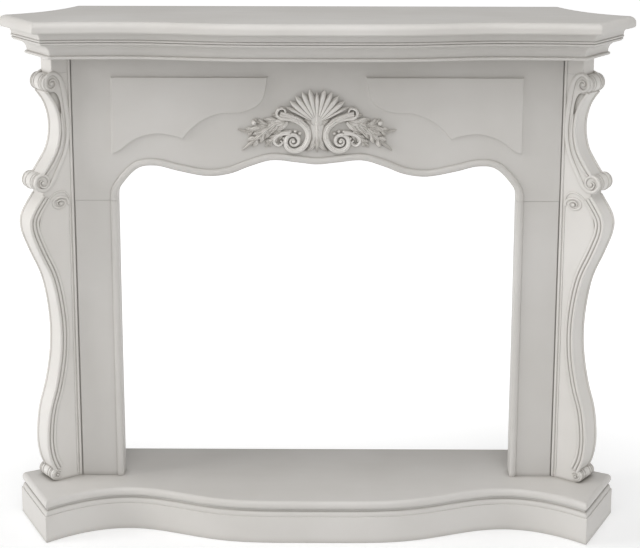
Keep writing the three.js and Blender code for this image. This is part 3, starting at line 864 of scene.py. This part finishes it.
def scroll_band(name, line, widths, rises, flutes):
    """A fluted band along a line, tapered from its start to its end."""
    rings = []
    for i, (point, along) in enumerate(zip(line, headings(line))):
        t = i / (len(line) - 1)
        half = between(*widths, t ** 0.8) / 2
        rise = between(*rises, t)
        ring = []
        for v in ACROSS_BAND:
            away = point + left_of(along) * (v * half)
            dome = math.sqrt(max(1 - (v * 0.96) ** 2, 0))
            groove = 0.16 * (1 - t) * math.cos(math.pi * flutes * (v + 1)) * dome
            ring.append(on_frieze(away.x, away.y, rise * (dome - groove * 0.8) + 0.5))
        for v in (1, -1):
            away = point + left_of(along) * (v * half * 0.9)
            ring.append(on_frieze(away.x, away.y, -LET_IN))
        rings.append(ring)
    return loft(name, rings)


def carved_bud(x, y, radius, rise):
    rings = []
    for level in BUD_LEVELS:
        girth = radius * math.sqrt(max(1 - level ** 2, 0.004))
        ring = []
        for side in range(BUD_SIDES):
            turn = math.tau * side / BUD_SIDES
            right = x + girth * math.cos(turn)
            ring.append(on_frieze(right, y + girth * math.sin(turn), rise * level))
        rings.append(ring)
    rings.insert(0, [point + Vector((0, MILLIMETRE, 0)) for point in rings[0]])
    return loft("bud", rings)


def c_scroll():
    """From the curled leaf end beside the shell, down past the stem and round into the eye."""
    eye = Vector(SCROLL_EYE)
    sweep = [Vector(point) for point in SCROLL_SWEEP]
    start = math.atan2(sweep[-1].y - eye.y, sweep[-1].x - eye.x)
    reach = (sweep[-1] - eye).length
    winding = []
    for i in range(1, SCROLL_MARKS + 1):
        t = i / SCROLL_MARKS
        turn = start - math.tau * SCROLL_TURNS * t
        away = between(reach, SCROLL_END, t ** 0.6)
        winding.append(eye + Vector((math.cos(turn), math.sin(turn))) * away)
    return scroll_band("scroll", curve_through(sweep + winding, 150), (20, 5), (12, 9), 3)


def acanthus(points, lengths, width, rise, fingers):
    """A leaf with a rib along its line and pointed fingers that fan out from both sides of it."""
    steps = 40
    line = curve_through(points, steps)
    ahead = headings(line)
    pieces = [blade("leaf_rib", points, width, rise, root=0.8, steps=36)]
    for finger in range(fingers):
        t = (finger + 0.3) / (fingers + 0.7)
        start = line[round(t * steps)]
        along = ahead[round(t * steps)]
        length = between(*lengths, t)
        for side in (-1, 1):
            aside = left_of(along) * side
            middle = start + (along * 0.42 + aside * 0.42) * length
            end = start + (along * 0.98 + aside * 0.66) * length
            way = [start, middle, end]
            pieces.append(blade("finger", way, width * 0.84, rise * 0.85, 0.03, 0.8, 14))
    return pieces


def side_carving():
    """The scroll, leaves and buds of the left half."""
    pieces = [c_scroll(), carved_bud(*SCROLL_EYE, 6, 12)]
    pieces += acanthus(LONG_LEAF, (33, 11), 19, 13, 5)
    pieces += acanthus(OUTER_LEAF, (20, 7), 14, 11, 3)
    pieces += acanthus(UPPER_LEAF, (13, 8), 13, 10, 2)
    pieces += acanthus(INNER_LEAF, (18, 7), 14, 10, 3)
    pieces.append(scroll_band("leaf_curl", curve_through(LOWER_CURL, 60), (13, 5), (11, 9), 2))
    pieces.append(scroll_band("leaf_curl", curve_through(UPPER_CURL, 70), (12, 5), (13, 10), 2))
    pieces.append(carved_bud(-149, 8, 7, 12))
    for turn in SCROLL_BUDS:
        x = SCROLL_EYE[0] + SCROLL_BUDS_AWAY * math.cos(math.radians(turn))
        y = SCROLL_EYE[1] + SCROLL_BUDS_AWAY * math.sin(math.radians(turn))
        pieces.append(carved_bud(x, y, SCROLL_BUD, SCROLL_BUD_RISE))
    return pieces


def shell_carving():
    left = side_carving()
    right = [mirrored(piece, "carved_copy") for piece in left]
    pieces = [fluted_shell()]
    pieces.append(blade("stem", STEM, 30, 15, 0.3, 0.9))
    pieces.append(blade("foot_leaf", FOOT_LEAF, 17, 14, root=0.6))
    for side in (-1, 1):
        foot_leaf = [(side * x, y) for x, y in SIDE_FOOT_LEAF]
        heart_leaf = [(side * x, y) for x, y in HEART_LEAF]
        pieces.append(blade("foot_leaf", foot_leaf, 17, 12, root=0.6))
        pieces.append(blade("heart_leaf", heart_leaf, 13, 13, sweep=0.1))
    pieces.append(carved_bud(0, 7, 7, 16))
    pieces.append(carved_bud(0, -9, 6, 15))
    return joined("shell_carving", pieces + left + right)


# Paint

def satin_paint(name, strokes, hollow, painted_light_gain=1.0, deep=0.25, open_air=0.85):
    """Off-white satin paint: cloudy tone, brush strokes along the wood and painted shade in the
    hollows.
    """
    # A factor above one lifts every tone of the paint: painted light on the pieces that take a
    # lighter copy
    paint = bpy.data.materials.new(name)
    paint.use_nodes = True
    nodes = paint.node_tree.nodes
    link = paint.node_tree.links.new
    shader = nodes["Principled BSDF"]
    place = nodes.new("ShaderNodeTexCoord")
    cloud = nodes.new("ShaderNodeTexNoise")
    cloud.inputs["Scale"].default_value = 4
    cloud.inputs["Detail"].default_value = 5
    link(place.outputs["Object"], cloud.inputs["Vector"])
    tone = nodes.new("ShaderNodeValToRGB")
    tone.color_ramp.elements[0].position = 0.3
    tone.color_ramp.elements[0].color = [share * painted_light_gain for share in PAINT_SHADE] + [1]
    tone.color_ramp.elements[1].position = 0.7
    tone.color_ramp.elements[1].color = [share * painted_light_gain for share in PAINT_TINT] + [1]
    link(cloud.outputs["Fac"], tone.inputs["Fac"])
    # Painted shade: ambient occlusion darkens the colour towards the hollow tone in creases and
    # recesses
    corner = nodes.new("ShaderNodeAmbientOcclusion")
    corner.inputs["Distance"].default_value = hollow
    corner.samples = 8
    depth = nodes.new("ShaderNodeMapRange")
    depth.inputs["From Min"].default_value = deep
    depth.inputs["From Max"].default_value = open_air
    link(corner.outputs["AO"], depth.inputs["Value"])
    hollow_shade_mix = nodes.new("ShaderNodeMix")
    hollow_shade_mix.data_type = "RGBA"
    hollow_shade_mix.inputs["A"].default_value = [share * painted_light_gain for share in PAINTED_HOLLOW_SHADE] + [1]
    link(depth.outputs["Result"], hollow_shade_mix.inputs["Factor"])
    link(tone.outputs["Color"], hollow_shade_mix.inputs["B"])
    link(hollow_shade_mix.outputs["Result"], shader.inputs["Base Color"])
    stretch = nodes.new("ShaderNodeMapping")
    stretch.inputs["Scale"].default_value = strokes
    link(place.outputs["Object"], stretch.inputs["Vector"])
    brush = nodes.new("ShaderNodeTexNoise")
    brush.inputs["Scale"].default_value = 1
    brush.inputs["Detail"].default_value = 4
    link(stretch.outputs["Vector"], brush.inputs["Vector"])
    gloss = nodes.new("ShaderNodeMapRange")
    gloss.inputs["To Min"].default_value = GLOSS[0]
    gloss.inputs["To Max"].default_value = GLOSS[1]
    link(brush.outputs["Fac"], gloss.inputs["Value"])
    link(gloss.outputs["Result"], shader.inputs["Roughness"])
    bump = nodes.new("ShaderNodeBump")
    bump.inputs["Strength"].default_value = STROKE_STRENGTH
    bump.inputs["Distance"].default_value = MILLIMETRE
    link(brush.outputs["Fac"], bump.inputs["Height"])
    link(bump.outputs["Normal"], shader.inputs["Normal"])
    return paint


# Camera, floor and lights

def place_camera():
    view = bpy.data.cameras.new("front_view")
    view.sensor_width = SENSOR
    view.lens = SENSOR * FOCAL_PIXELS / PHOTO_WIDTH
    view.shift_y = -HORIZON_PIXELS / PHOTO_WIDTH
    camera = bpy.data.objects.new("front_view", view)
    camera.location = CAMERA_AT
    camera.rotation_euler = CAMERA_TURN
    bpy.context.collection.objects.link(camera)
    bpy.context.scene.camera = camera


def pale_floor():
    clear_selection()
    bpy.ops.mesh.primitive_plane_add(size=30, location=(0, 0, -MILLIMETRE / 2))
    floor = bpy.context.object
    floor.name = "studio_floor"
    pale = bpy.data.materials.new("pale_floor")
    pale.use_nodes = True
    nodes = pale.node_tree.nodes
    link = pale.node_tree.links.new
    shader = nodes["Principled BSDF"]
    shader.inputs["Base Color"].default_value = (FLOOR_GREY, FLOOR_GREY, FLOOR_GREY, 1)
    shader.inputs["Emission Color"].default_value = (1, 1, 1, 1)
    place = nodes.new("ShaderNodeTexCoord")
    towards_back = nodes.new("ShaderNodeSeparateXYZ")
    glow = nodes.new("ShaderNodeMapRange")
    glow.inputs["From Min"].default_value = FLOOR_GLOW_FROM
    glow.inputs["From Max"].default_value = FLOOR_GLOW_TO
    glow.inputs["To Min"].default_value = FLOOR_GLOW[0]
    glow.inputs["To Max"].default_value = FLOOR_GLOW[1]
    link(place.outputs["Object"], towards_back.inputs[0])
    link(towards_back.outputs["Y"], glow.inputs["Value"])
    link(glow.outputs["Result"], shader.inputs["Emission Strength"])
    dress(floor, pale)


def soft_light(name, place, aim, size, power):
    lamp = bpy.data.lights.new(name, "AREA")
    lamp.size = size
    lamp.energy = power
    light = bpy.data.objects.new(name, lamp)
    light.location = place
    light.rotation_euler = (Vector(aim) - Vector(place)).to_track_quat("-Z", "Y").to_euler()
    bpy.context.collection.objects.link(light)


def studio():
    pale_floor()
    for light in LIGHTS:
        soft_light(*light)
    world = bpy.data.worlds.new("studio_air")
    world.use_nodes = True
    air = world.node_tree.nodes["Background"]
    air.inputs["Color"].default_value = (1, 1, 1, 1)
    air.inputs["Strength"].default_value = AIR_LIGHT
    bpy.context.scene.world = world
    bpy.context.scene.view_settings.view_transform = "Standard"


place_camera()
studio()
level_paint = satin_paint("paint_brushed_level", (8, 60, 160), 0.024)
upright_paint = satin_paint("paint_brushed_upright", (160, 160, 8), 0.016)
# The consoles and the carving take lighter copies of the same paint: painted light
console_paint = satin_paint("paint_on_consoles", (160, 160, 8), 0.009, 1.13, 0.5, 0.93)
carved_paint = satin_paint("paint_on_carving", (90, 90, 90), 0.007, 1.22)
finished(mantel_shelf(), "mantel_shelf", level_paint)
finished(hearth_base(), "hearth_base", level_paint)
finished(frieze(), "frieze", level_paint)
right_jamb = jamb()
finished(mirrored(right_jamb, "jamb_board_left"), "jamb_left", upright_paint)
finished(right_jamb, "jamb_right", upright_paint)
right_console = corner_console()
finished(mirrored(right_console, "scroll_console_left"), "console_left", console_paint)
finished(right_console, "console_right", console_paint)
right_return = side_return()
finished(mirrored(right_return, "return_board_left"), "side_return_left", upright_paint)
finished(right_return, "side_return_right", upright_paint)
finished(shell_carving(), "frieze_carving", carved_paint, CARVED_SMOOTH)
